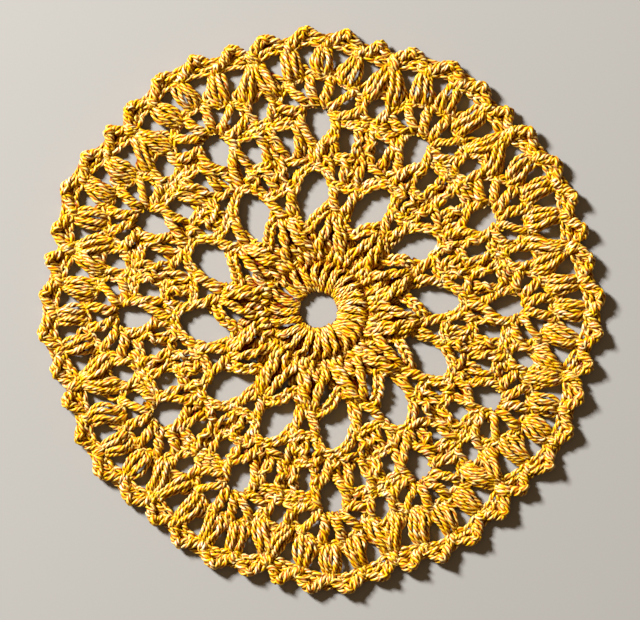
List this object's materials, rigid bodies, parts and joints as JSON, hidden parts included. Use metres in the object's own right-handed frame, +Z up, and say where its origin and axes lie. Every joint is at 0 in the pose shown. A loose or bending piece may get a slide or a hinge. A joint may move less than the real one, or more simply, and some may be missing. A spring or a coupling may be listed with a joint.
{
  "type": "lace doily",
  "caption": "Round flat crochet lace doily with fans of puff stitches, open gaps between its rounds and a picot edge.",
  "frame": {"origin": "middle of the doily's outline on the surface it lies on", "axes": "+Z up out of its right side, thickness along Z; +Y towards the top of the picture, +X to its right"},
  "size_m": [0.1506, 0.1508, 0.0032],
  "materials": {
    "cotton_yarn": "mercerised golden yellow crochet cotton, soft sheen"
  },
  "bodies": {
    "root": {"doily": "cotton_yarn"}
  },
  "joints": []
}
